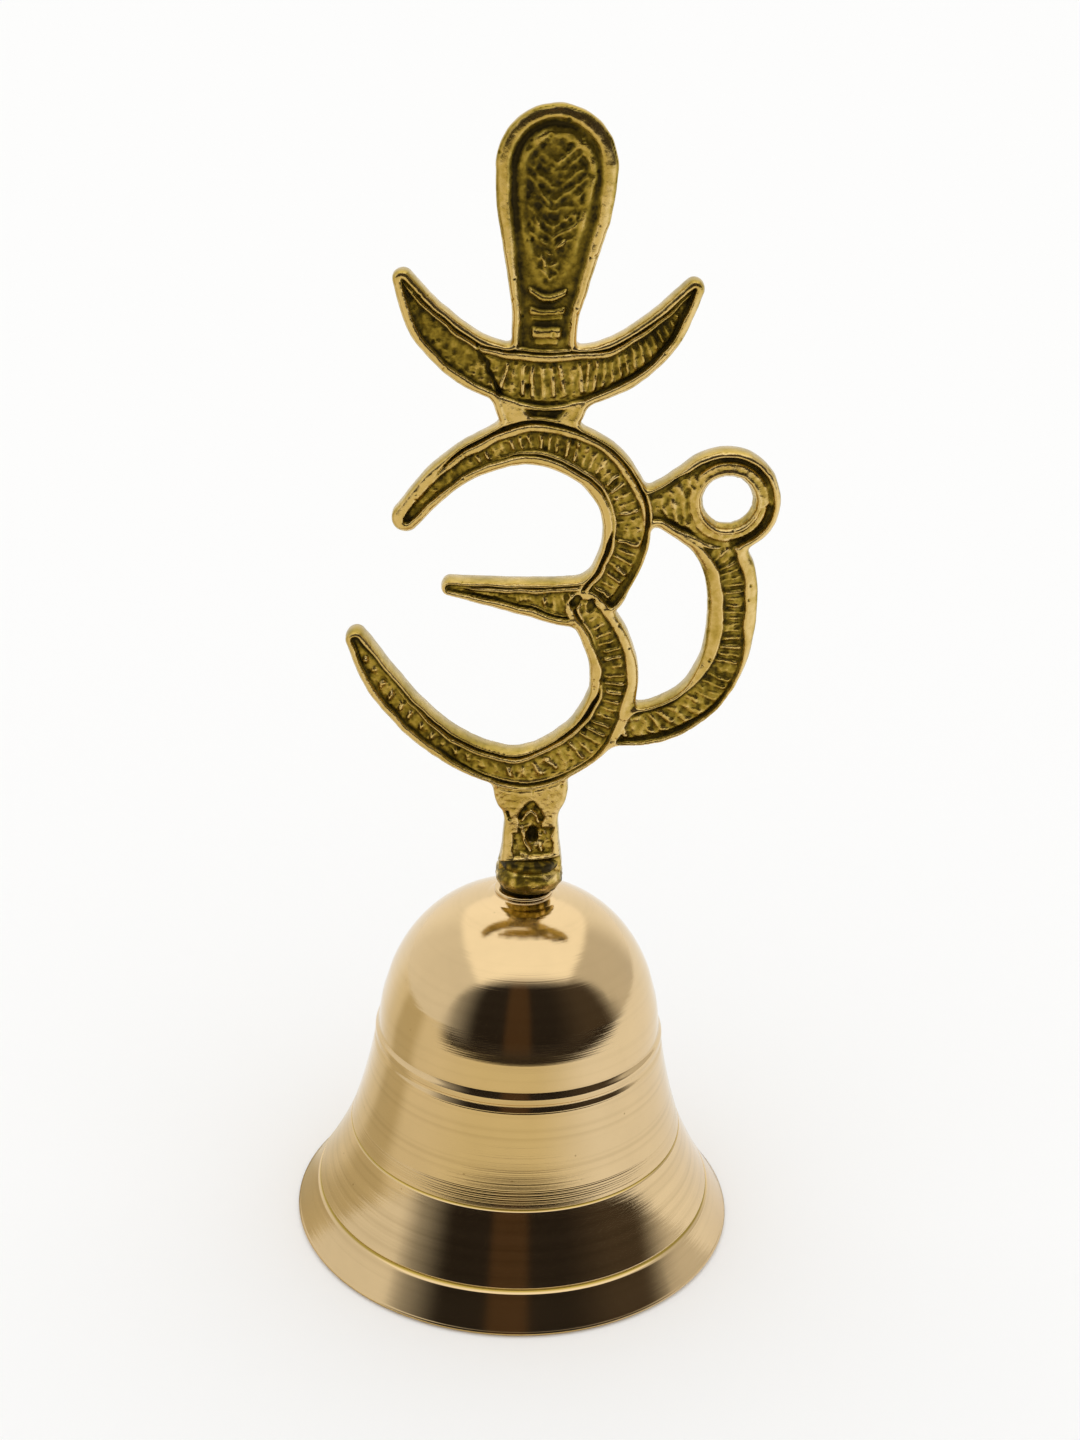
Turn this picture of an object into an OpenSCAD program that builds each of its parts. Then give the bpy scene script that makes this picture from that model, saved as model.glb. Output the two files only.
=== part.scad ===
// Brass hand bell with an openwork Om-shaped handle, a hanging link and a swinging clapper.
// Origin: centre of the mouth plane, on the axis of the bell. +Z up, -Y is the front of the handle.

/* [Bell shell] */
// Outer radius of the mouth
mouth_r = 30; // [20:0.5:45]
// Outer radius of the foot of the dome
dome_r = 18.95; // [12:0.05:30]
// Outer radius of the wall at the double ring
waist_r = 19.45; // [12:0.05:30]
// Height of the double ring above the mouth
waist_z = 26.4; // [15:0.1:40]
// Height of the top of the dome
crown_z = 48.3; // [36:0.1:60]
// Exponent of the dome curve, 2 is an ellipse
dome_n = 2.2; // [2:0.1:4]
// Widening of the wall per millimetre of fall, just below the double ring
wall_taper = 0.165; // [0.1:0.005:0.6]
// Curve of the wall above the flare
wall_curve = 0.0065; // [0:0.0005:0.02]
// Widening of the flare per millimetre of fall, at its top
flare_taper = 0.38; // [0.1:0.01:0.8]
// Height of the groove where the flare starts
flare_h = 14; // [8:0.1:20]
// Thickness of the wall
wall_t = 2; // [1.2:0.1:3.5]
// Extra thickness at the lip
lip_extra = 1; // [0:0.1:2]
// Radius of the turned boss on the crown
boss_r = 3.8; // [3:0.1:6]
// Height of the turned boss
boss_h = 0.7; // [0.3:0.1:2]

/* [Handle] */
// Thickness of the cast handle plate
plate_t = 4; // [3:0.1:6]
// Width of the rim left around the sunk faces
rim_w = 1.4; // [0.8:0.1:2.5]
// Depth of the sunk faces
sink_d = 0.9; // [0.3:0.1:1.5]
// Height of the hatch bars above the sunk faces
bar_h = 0.5; // [0.2:0.1:1]
// Pitch of the hatch bars along the stroke
bar_pitch = 1.1; // [0.8:0.05:2]
// Width of one hatch bar
bar_w = 0.55; // [0.3:0.05:1]
// Sideways offset of the collar of the cast handle from the bell axis
collar_dx = 0.6; // [-1:0.1:1]
// Radius of the hole through the ring of the handle
eye_r = 2.9; // [2:0.1:4]
// Width of the bar-shaped land inside that hole
eye_land = 2; // [1:0.1:4]
// Largest radius of the collar at the foot of the handle
collar_r = 4.5; // [3.5:0.1:7]
// Radius of the spigot between collar and bell
spigot_r = 3.1; // [2.4:0.1:4]

/* [Hanging parts] */
// Diameter of the hanger thread
thread_d = 3; // [2:0.5:5]
// Radius of the wire of the hanger eye
eye_wire = 1.1; // [0.8:0.1:1.5]
// Radius of the wire of the link
link_wire = 1; // [0.8:0.1:1.4]
// Radius of the wire of the clapper eye
clap_wire = 1; // [0.8:0.1:1.4]
// Mean radius of the hanger eye
eye_ring = 3; // [2.5:0.1:4]
// Mean radius of the link
link_ring = 3.6; // [3:0.1:5]
// Mean radius of the clapper eye
clap_ring = 2.9; // [2.5:0.1:4]
// Play between two wires that ride on each other
ride_gap = 0.05; // [0.01:0.01:0.1]
// Radius of the clapper bob
bob_r = 6; // [4:0.5:9]
// Height of the centre of the bob above the mouth plane
bob_z = 8.5; // [7:0.5:14]
// Radius of the clapper shank
shank_r = 1.2; // [0.8:0.1:2]

/* [Hidden] */
brass_polished = [0.83, 0.69, 0.42];
brass_cast = [0.62, 0.50, 0.22];
brass_wire = [0.75, 0.62, 0.36];
steel = [0.66, 0.66, 0.66];
boss_top = crown_z + boss_h;
pad_z = 43.6;                       // flat seat inside the crown
washer_t = 0.8;
nut_t = 2.4;
nut_af = 5.5;
spigot_h = 0.4;
collar_z = boss_top + spigot_h;     // underside of the collar
collar_h = 4;
nut_bottom = pad_z - washer_t - nut_t;
eye_z = nut_bottom - 1.4 - eye_wire - eye_ring;   // centre of the hanger eye
link_pivot = eye_z - eye_ring;                    // centre of its lowest wire
link_z = link_pivot + eye_wire + link_wire + ride_gap - link_ring;
clap_pivot = link_z - link_ring;
clap_eye_z = clap_pivot + link_wire + clap_wire + ride_gap - clap_ring;
hole_at = [23, 102.4];              // centre of the ring of the handle
$fn = 96;

// radius of the outside of the wall at height z: a slow curve, then a flare that reaches the mouth
function upper_r(z) = waist_r + wall_taper * (waist_z - z) + wall_curve * pow(waist_z - z, 2);
flare_r = upper_r(flare_h);
flare_curve = (mouth_r - flare_r - flare_taper * flare_h) / pow(flare_h, 2);
function wall_r(z) = z > flare_h ? upper_r(z) : flare_r + flare_taper * (flare_h - z) + flare_curve * pow(flare_h - z, 2);
// radius of a dome of radius r over height h at share t of its height
function dome_x(r, t) = r * pow(max(0, 1 - pow(t, dome_n)), 1 / dome_n);
// wall thickness at height z
function wall_at(z) = wall_t + lip_extra * pow(max(0, 1 - z / 10), 2);

// Catmull-Rom curve through control points q, each [x, z, half width], at segment i, share t
function cr(a, b, c, d, t) = 0.5 * (2 * b + (c - a) * t + (2 * a - 5 * b + 4 * c - d) * t * t + (3 * b - a - 3 * c + d) * t * t * t);
function at(q, i, t) = let(n = len(q) - 1) cr(q[max(0, i - 1)], q[i], q[min(n, i + 1)], q[min(n, i + 2)], t);
function path(q, k) = [for (i = [0:len(q) - 2]) for (j = [0:k - 1]) at(q, i, j / k), q[len(q) - 1]];
function xz(p) = [p[0], p[1]];
function unit(v) = v / max(norm(v), 1e-6);
function dir(p, i) = unit(xz(p[min(len(p) - 1, i + 1)]) - xz(p[max(0, i - 1)]));
function side(p, i, s, inset) = let(d = dir(p, i)) xz(p[i]) + s * max(0.05, p[i][2] - inset) * [-d[1], d[0]];

// the strokes of the sign: [x, z, half width] along each centre line
paddle = [[0, 119, 3.9], [0.1, 124, 4], [0.3, 128, 4.8], [0.5, 132.5, 5.8], [0.7, 137, 6.8], [0.8, 140.8, 7.1]];
neck = [[-0.1, 114.4, 5.8], [-0.1, 113, 5.15], [-0.1, 112.2, 4.95], [-0.1, 111.6, 4.9]];
crescent = [[-16.7, 127.5, 1.3], [-13.3, 122.3, 2.7], [-7.6, 118, 3.3], [0.2, 116.4, 3.7], [8.1, 118.1, 3.3], [13.5, 122.2, 2.7], [17.3, 127.7, 1.3]];
upper_bowl = [[-16, 98.9, 1.8], [-12.1, 103.4, 2.1], [-7.4, 106.8, 2.4], [-0.6, 109, 3], [6.6, 106.6, 3.2], [10.4, 101.8, 3.2], [10.9, 97, 3], [9.6, 92.6, 2.8], [7.6, 89.6, 2.6]];
middle_tine = [[8.8, 90, 2.4], [4.6, 88.7, 3], [0, 89, 2.4], [-5.5, 89.6, 1.7], [-10.5, 90.2, 1.1]];
lower_bowl = [[6.2, 88.2, 2.4], [8.4, 85.2, 2.9], [10.2, 80.6, 3.1], [9.9, 75.4, 3.1], [6.6, 69.9, 3.1], [0.2, 66.2, 2.7], [-5.2, 66.7, 2.4], [-10.5, 69.2, 2.3], [-15, 72.9, 2.3], [-19, 77.7, 2.2], [-22, 82.9, 1.4]];
tail_loop = [[17, 100.2, 2.2], [21.2, 97.6, 2.8], [23.9, 93.2, 3.2], [24.5, 87.5, 3.1], [23.7, 81.5, 2.9], [20.8, 76.3, 2.7], [16, 73.2, 2.7], [10.4, 72.4, 2.6]];
ring_tail = [[12, 100.9, 2], [15.5, 101.6, 2.9], [19, 102, 4.6], [21.5, 102.3, 5.8]];
stem = [[0.4, 63.6, 4.9], [0.5, 61.9, 4.1], [0.6, 59.4, 3.6], [0.7, 56, 3.8], [0.7, 52.6, 4.2]];

// half-round end of a stroke at point i, turning from angle a0 to a1 off the stroke's own direction
function cap(p, i, a0, a1, inset) = let(d = dir(p, i), r = max(0.05, p[i][2] - inset))
    [for (j = [1:9]) let(a = a0 + (a1 - a0) * j / 10) xz(p[i]) + r * (cos(a) * d + sin(a) * [-d[1], d[0]])];

// one stroke of varying width with round ends
module stroke(q, inset = 0, k = 5) {
    p = path(q, k);
    n = len(p) - 1;
    polygon(concat([for (i = [0:n]) side(p, i, 1, inset)], cap(p, n, 90, -90, inset),
        [for (i = [n:-1:0]) side(p, i, -1, inset)], cap(p, 0, -90, -270, inset)));
}

// the bars that cross a stroke between centre-line points from and to
module bars(q, from, to) {
    k = 24;
    p = path(q, k);
    d = [for (i = 0, s = 0; i < len(p); s = s + (i + 1 < len(p) ? norm(xz(p[i + 1]) - xz(p[i])) : 0), i = i + 1) s];
    a = d[from * k];
    b = d[to * k];
    for (s = [a:bar_pitch:b]) {
        i = [for (m = [from * k:to * k]) if (d[m] >= s - 0.001) m][0];
        v = dir(p, i);
        w = p[i][2] - rim_w - 0.35;
        translate(xz(p[i])) rotate(atan2(v[1], v[0])) square([bar_w, 2 * w], center = true);
    }
}

// outline of the whole openwork sign
module sign(inset = 0) {
    stroke(paddle, inset);
    stroke(neck, inset, 3);
    stroke(crescent, inset);
    stroke(upper_bowl, inset);
    stroke(middle_tine, inset);
    stroke(lower_bowl, inset);
    stroke(tail_loop, inset);
    stroke(ring_tail, inset, 3);
}

// the sunk faces inside the rim
module sunk() {
    difference() {
        sign(rim_w);
        translate(hole_at) circle(r = eye_r + 1.1, $fn = 48);
    }
}

// the raised work on the sunk faces
module raised() {
    bars(crescent, 2, 5);
    bars(upper_bowl, 1, 7);
    bars(middle_tine, 1, 2);
    bars(lower_bowl, 1, 9);
    bars(tail_loop, 1, 7);
    // oval line and bars of the paddle
    difference() {
        stroke([[0.3, 129, 2.4], [0.5, 133, 3.4], [0.8, 140, 4.3]]);
        stroke([[0.3, 129.4, 1.7], [0.5, 133, 2.7], [0.8, 140, 3.5]]);
    }
    for (i = [0:2]) translate([0.15, 121.9 + 2.1 * i]) square([3.6, 0.8], center = true);
    for (i = [0:3]) for (s = [-1, 1])
        translate([0.5 + s * 0.9, 131 + 2.6 * i]) rotate(s * 38) square([2.1, 0.6], center = true);
}

// a flat outline in x and z, stood up between y0 and y1
module stand(y0, y1) {
    translate([0, y1, 0]) rotate([90, 0, 0]) linear_extrude(y1 - y0) children();
}

// a ring of round wire with its centre at height z
module wire_ring(mean_r, wire_r, z, turn) {
    translate([0, 0, z]) rotate([0, 0, turn]) rotate([90, 0, 0])
        rotate_extrude($fn = 64) translate([mean_r, 0]) circle(r = wire_r, $fn = 28);
}

module bell_body() {
    color(brass_polished)
    difference() {
        union() {
            rotate_extrude() polygon(concat(
                [[0, 0], [mouth_r - 0.9, 0], [mouth_r - 0.35, 0.15], [mouth_r - 0.1, 0.6]],
                [for (i = [1:22]) let(z = 1 + i * (waist_z - 1) / 22) [wall_r(z), z]],
                [[waist_r - 0.05, waist_z + 1.9], [dome_x(dome_r, 2.6 / (crown_z - waist_z)), waist_z + 2.6]],
                [for (i = [1:26]) let(t = sin(7 + i * 83 / 26)) [dome_x(dome_r, t), waist_z + (crown_z - waist_z) * t]]));
            // turned boss
            translate([0, 0, crown_z - 1]) cylinder(r = boss_r, h = boss_h + 1);
        }
        // inside of the shell
        rotate_extrude() polygon(concat(
            [[0, -1], [mouth_r - wall_t - lip_extra, -1]],
            [for (i = [0:16]) let(z = i * waist_z / 16) [wall_r(z) - wall_at(z), z]],
            [for (i = [1:16]) let(t = sin(i * 90 / 20)) [dome_x(dome_r - wall_t + 0.4, t), waist_z + (crown_z - wall_t - 0.2 - waist_z) * t]],
            [[5.3, pad_z + 1.7], [4.8, pad_z], [0, pad_z]]));
        // bolt hole through the crown
        translate([0, 0, 30]) cylinder(d = thread_d + 0.2, h = 30);
        // turned grooves: one at the lip, one at the flare, two at the double ring
        rotate_extrude() translate([wall_r(4.9) + 0.3, 4.9]) circle(r = 0.75, $fn = 24);
        rotate_extrude() translate([wall_r(flare_h) + 0.1, flare_h]) circle(r = 0.45, $fn = 20);
        rotate_extrude() translate([waist_r + 0.1, waist_z + 0.4]) circle(r = 0.5, $fn = 20);
        rotate_extrude() translate([waist_r - 0.15, waist_z + 2.5]) circle(r = 0.55, $fn = 20);
    }
}

module om_handle() {
    color(brass_cast)
    difference() {
        union() {
            difference() {
                stand(-plate_t / 2, plate_t / 2) { sign(); translate(hole_at) circle(r = 6.45, $fn = 72); }
                stand(-plate_t / 2 - 1, -plate_t / 2 + sink_d) sunk();
                stand(plate_t / 2 - sink_d, plate_t / 2 + 1) sunk();
            }
            stand(-plate_t / 2 + sink_d - bar_h, -plate_t / 2 + sink_d + 0.2) raised();
            stand(plate_t / 2 - sink_d - 0.2, plate_t / 2 - sink_d + bar_h) raised();
            // stem with a sunk arch on each face
            difference() {
                stand(-plate_t / 2, plate_t / 2) stroke(stem, 0, 4);
                for (s = [-1, 1]) translate([0.6, s * plate_t / 2, 0]) rotate([90, 0, 0])
                    translate([0, 0, -0.8]) linear_extrude(1.6) { translate([0, 58.6]) circle(r = 1.2, $fn = 32); translate([-1.7, 54]) square([3.4, 4.4]); }
            }
            // collar bead and spigot
            translate([collar_dx, 0, collar_z]) rotate_extrude($fn = 72)
                polygon(concat([[0, 0], [collar_r - 1.3, 0]],
                    [for (i = [0:10]) let(a = -80 + i * 14) [collar_r - 1.1 + 1.1 * cos(a), 1.5 + 1.4 * sin(a)]],
                    [[collar_r - 0.5, collar_h], [0, collar_h]]));
            translate([0, 0, boss_top]) cylinder(r = spigot_r, h = spigot_h + 1.6);
        }
        // threaded hole from below
        translate([0, 0, boss_top - 1]) cylinder(d = thread_d, h = 9.5);
        // hole through the ring, with coned edges
        translate([hole_at[0], 0, hole_at[1]]) rotate([90, 0, 0]) {
            translate([0, 0, -plate_t]) cylinder(r = eye_r, h = 2 * plate_t);
            for (s = [-1, 1]) scale([1, 1, s]) translate([0, 0, eye_land / 2])
                cylinder(r1 = eye_r, r2 = eye_r + 0.8, h = plate_t / 2 - eye_land / 2 + 0.01);
        }
    }
}

module hanger_bolt() {
    color(brass_wire) {
        wire_ring(eye_ring, eye_wire, eye_z, 0);
        translate([0, 0, eye_z + eye_ring]) cylinder(d = thread_d, h = boss_top + 7.1 - eye_z - eye_ring);
    }
}

module crown_washer() {
    color(brass_wire)
    difference() {
        translate([0, 0, pad_z - washer_t]) cylinder(r = 4, h = washer_t);
        translate([0, 0, pad_z - washer_t - 1]) cylinder(d = thread_d + 0.2, h = washer_t + 2);
    }
}

module lock_nut() {
    color(steel)
    difference() {
        translate([0, 0, nut_bottom]) cylinder(d = nut_af / cos(30), h = nut_t, $fn = 6);
        translate([0, 0, nut_bottom - 1]) cylinder(d = thread_d, h = nut_t + 2);
    }
}

module link() {
    color(brass_wire) wire_ring(link_ring, link_wire, link_z, 90);
}

module clapper_shank() {
    color(brass_wire) {
        wire_ring(clap_ring, clap_wire, clap_eye_z, 0);
        translate([0, 0, bob_z]) cylinder(r = shank_r, h = clap_eye_z - clap_ring - bob_z);
    }
}

module clapper_bob() {
    color(brass_polished)
    difference() {
        union() {
            translate([0, 0, bob_z]) sphere(r = bob_r);
            translate([0, 0, bob_z + bob_r - 0.6]) cylinder(r1 = 2.6, r2 = 1.9, h = 1.8);
        }
        translate([0, 0, bob_z - 0.01]) cylinder(r = shank_r, h = bob_r + 3);
    }
}

bell_body();
om_handle();
hanger_bolt();
crown_washer();
lock_nut();
link();
clapper_shank();
clapper_bob();
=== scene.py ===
import math

import bpy
import numpy as np
from mathutils import Matrix, Vector


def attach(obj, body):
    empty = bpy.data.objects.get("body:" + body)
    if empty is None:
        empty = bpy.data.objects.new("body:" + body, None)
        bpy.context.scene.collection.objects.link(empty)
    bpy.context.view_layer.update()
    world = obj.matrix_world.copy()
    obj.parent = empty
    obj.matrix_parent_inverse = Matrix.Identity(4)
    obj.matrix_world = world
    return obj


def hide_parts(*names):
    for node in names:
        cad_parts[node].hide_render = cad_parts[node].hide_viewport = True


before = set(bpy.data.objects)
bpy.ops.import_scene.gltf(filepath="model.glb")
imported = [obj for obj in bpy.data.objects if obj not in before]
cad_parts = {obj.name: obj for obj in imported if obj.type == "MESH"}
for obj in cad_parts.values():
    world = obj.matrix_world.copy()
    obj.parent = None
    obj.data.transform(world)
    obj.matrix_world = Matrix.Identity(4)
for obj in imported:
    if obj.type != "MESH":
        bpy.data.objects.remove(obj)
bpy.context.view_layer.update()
MM = 0.001                          # sizes below are in millimetres, Blender's are in metres


# ---------------------------------------------------------------- small helpers

def smooth(t):
    """Smooth step from 0 at t = 0 to 1 at t = 1."""
    t = np.clip(t, 0, 1)
    return t * t * (3 - 2 * t)


def round_over(t):
    """Quarter circle from 0 at t = 0 up to 1 at t = 1."""
    return np.sqrt(np.clip(1 - (1 - np.clip(t, 0, 1))**2, 0, 1))


NOISE_CELLS = 509                   # the noise repeats after this many cells


def lattice(x, z, cell, seed):
    """Value noise from -1 to 1 with the given cell size."""
    g = np.random.default_rng(seed).uniform(-1, 1, (NOISE_CELLS, NOISE_CELLS))
    u, v = x / cell + 211.3, z / cell + 97.7
    i, j = np.floor(u).astype(int), np.floor(v).astype(int)
    fu, fv = smooth(u - i), smooth(v - j)

    def at(a, b):
        return g[a % NOISE_CELLS, b % NOISE_CELLS]

    near = at(i, j) * (1 - fu) + at(i + 1, j) * fu
    far = at(i, j + 1) * (1 - fu) + at(i + 1, j + 1) * fu
    return near * (1 - fv) + far * fv


def fractal(x, z, cell, seed, octaves=3, gain=0.55):
    """Noise of several cell sizes, each half of the one before."""
    total, share = 0, 1.0
    for k in range(octaves):
        total = total + share * lattice(x, z, cell / 2**k, seed + 17 * k)
        share *= gain
    return total


def blur(a, sigma):
    """Gaussian blur of a 2-D array, sigma in cells."""
    reach = int(3 * sigma + 1)
    weights = np.exp(-0.5 * (np.arange(-reach, reach + 1) / sigma)**2)
    weights /= weights.sum()
    for axis in (0, 1):
        margins = [(reach, reach) if n == axis else (0, 0) for n in (0, 1)]
        padded = np.pad(a, margins, mode="edge")
        a = sum(w * np.take(padded, range(i, i + a.shape[axis]), axis) for i, w in enumerate(weights))
    return a


def mesh_object(name, verts, faces, body, nodes):
    """A smooth-shaded mesh that rides on a body and stands in for CAD nodes."""
    me = bpy.data.meshes.new(name)
    me.from_pydata([tuple(v) for v in verts], [], [tuple(int(i) for i in f) for f in faces])
    me.validate()
    me.shade_smooth()
    ob = bpy.data.objects.new(name, me)
    bpy.context.scene.collection.objects.link(ob)
    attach(ob, body)
    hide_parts(*nodes)
    return ob


def point_attribute(ob, name, values):
    a = ob.data.attributes.new(name, "FLOAT", "POINT")
    a.data.foreach_set("value", np.asarray(values, dtype=np.float32))


def vertices_mm(ob):
    co = np.empty(len(ob.data.vertices) * 3, np.float32)
    ob.data.vertices.foreach_get("co", co)
    return co.reshape(-1, 3) / MM


# ---------------------------------------------------------------- the cast sign: outline
# Strokes of the sign in millimetres: [x, z, half width] along each centre line.

STROKES = {
    "paddle": [[0, 119, 3.9], [0.1, 124, 4], [0.3, 128, 4.8], [0.5, 132.5, 5.8], [0.7, 137, 6.8],
               [0.8, 140.8, 7.1]],
    "neck": [[-0.1, 114.4, 5.8], [-0.1, 113, 5.15], [-0.1, 112.2, 4.95], [-0.1, 111.6, 4.9]],
    "crescent": [[-16.7, 127.5, 1.3], [-13.3, 122.3, 2.7], [-7.6, 118, 3.3], [0.2, 116.4, 3.7],
                 [8.1, 118.1, 3.3], [13.5, 122.2, 2.7], [17.3, 127.7, 1.3]],
    "upper_bowl": [[-16, 98.9, 1.8], [-12.1, 103.4, 2.1], [-7.4, 106.8, 2.4], [-0.6, 109, 3],
                   [6.6, 106.6, 3.2], [10.4, 101.8, 3.2], [10.9, 97, 3], [9.6, 92.6, 2.8], [7.6, 89.6, 2.6]],
    "middle_tine": [[8.8, 90, 2.4], [4.6, 88.7, 3], [0, 89, 2.4], [-5.5, 89.6, 1.7], [-10.5, 90.2, 1.1]],
    "lower_bowl": [[6.2, 88.2, 2.4], [8.4, 85.2, 2.9], [10.2, 80.6, 3.1], [9.9, 75.4, 3.1],
                   [6.6, 69.9, 3.1], [0.2, 66.2, 2.7], [-5.2, 66.7, 2.4], [-10.5, 69.2, 2.3],
                   [-15, 72.9, 2.3], [-19, 77.7, 2.2], [-22, 82.9, 1.4]],
    "tail_loop": [[17, 100.2, 2.2], [21.2, 97.6, 2.8], [23.9, 93.2, 3.2], [24.5, 87.5, 3.1],
                  [23.7, 81.5, 2.9], [20.8, 76.3, 2.7], [16, 73.2, 2.7], [10.4, 72.4, 2.6]],
    "ring_tail": [[12, 100.9, 2], [15.5, 101.6, 2.9], [19, 102, 4.6], [21.5, 102.3, 5.8]],
    "stem": [[0.4, 63.6, 4.9], [0.5, 61.9, 4.1], [0.6, 59.4, 3.6], [0.7, 56, 3.8], [0.7, 52.6, 4.2]],
}
RING_X, RING_Z, RING_R, HOLE_R = 23.0, 102.4, 6.45, 2.9
GRID = 0.14      # spacing of the points on each face
STROKE_STEP = 0.12                  # spacing of the points along a stroke's centre line
JOIN = 1.0                          # fillet where two strokes meet
EDGE = 0.1                          # how far the face sheet stays inside the widest outline
WALL_TOP = 1.3                      # half thickness where the side wall starts to round over
CREST = 1.97                        # half thickness at the crest of the rims
GROOVE, FLOOR = 1.08, 1.26          # half thickness at the bottom of the grooves and on the sunk floors

xs = np.arange(-24.6, 30.4, GRID)
zs = np.arange(51.0, 149.0, GRID)
X, Z = np.meshgrid(xs, zs)


def centre_line(stroke):
    """Catmull-Rom curve through the stroke's points, and the length along it at each of its points."""
    q = np.array(stroke, float)
    last = len(q) - 1
    out = []
    for i in range(last):
        a, b, c, d = q[max(0, i - 1)], q[i], q[i + 1], q[min(last, i + 2)]
        count = max(2, int(np.hypot(*(c - b)[:2]) / STROKE_STEP))
        t = np.arange(count)[:, None] / count
        bend, twist = 2 * a - 5 * b + 4 * c - d, 3 * b - a - 3 * c + d
        out.append(0.5 * (2 * b + (c - a) * t + bend * t**2 + twist * t**3))
    p = np.vstack(out + [q[-1:]])
    s = np.concatenate([[0], np.cumsum(np.hypot(*np.diff(p[:, :2], axis=0).T))])
    return p, s


def stroke_field(stroke):
    """For each grid point: distance inside the stroke's edge, length along it, offset across it."""
    p, s = centre_line(stroke)
    d = np.gradient(p[:, :2], axis=0)
    d /= np.linalg.norm(d, axis=1, keepdims=True)
    inside, along, across = np.full(X.shape, -9.0), np.zeros(X.shape), np.zeros(X.shape)
    for (x, z, w), si, (dx, dz) in zip(p, s, d):
        reach = w + 2
        i0, i1 = np.searchsorted(zs, (z - reach, z + reach))
        j0, j1 = np.searchsorted(xs, (x - reach, x + reach))
        near = np.s_[i0:i1, j0:j1]
        rx, rz = X[near] - x, Z[near] - z
        u = w - np.hypot(rx, rz)
        closer = u > inside[near]
        inside[near][closer] = u[closer]
        along[near][closer] = (si + rx * dx + rz * dz)[closer]
        across[near][closer] = (rz * dx - rx * dz)[closer]
    return inside, along, across, s[-1]


def rounded_max(a, b, k):
    """The larger of a and b, with a fillet of size k where they cross."""
    h = np.maximum(k - np.abs(a - b), 0) / k
    return np.maximum(a, b) + h * h * k / 4


# outer_u, hole_u and union_u: distance inside the outer edge, outside the ring's hole, and to the nearer
fields = {name: stroke_field(stroke) for name, stroke in STROKES.items()}
ring_r = np.hypot(X - RING_X, Z - RING_Z)
ring_a = np.arctan2(Z - RING_Z, X - RING_X)
outer_u = np.full(X.shape, -9.0)
for stroke_inside, *_ in fields.values():
    outer_u = rounded_max(outer_u, stroke_inside, JOIN)
outer_u = rounded_max(outer_u, RING_R - ring_r, JOIN)
outer_u += 0.05 * fractal(X, Z, 1.6, 3, 2) - 0.06     # the wavy edge of a hand-finished casting
ragged = np.abs(fractal(3.2 * np.cos(ring_a), 3.2 * np.sin(ring_a), 0.8, 5, 2))
hole_u = ring_r - HOLE_R - 0.1 - 0.07 * ragged
union_u = np.minimum(outer_u, hole_u)


# ---------------------------------------------------------------- the cast sign: relief
# Rim, groove and ridge along each side of a stroke: share of its length, rim width, groove width,
# ridge width. "left" is the side on the left of the stroke's own direction.

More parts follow.
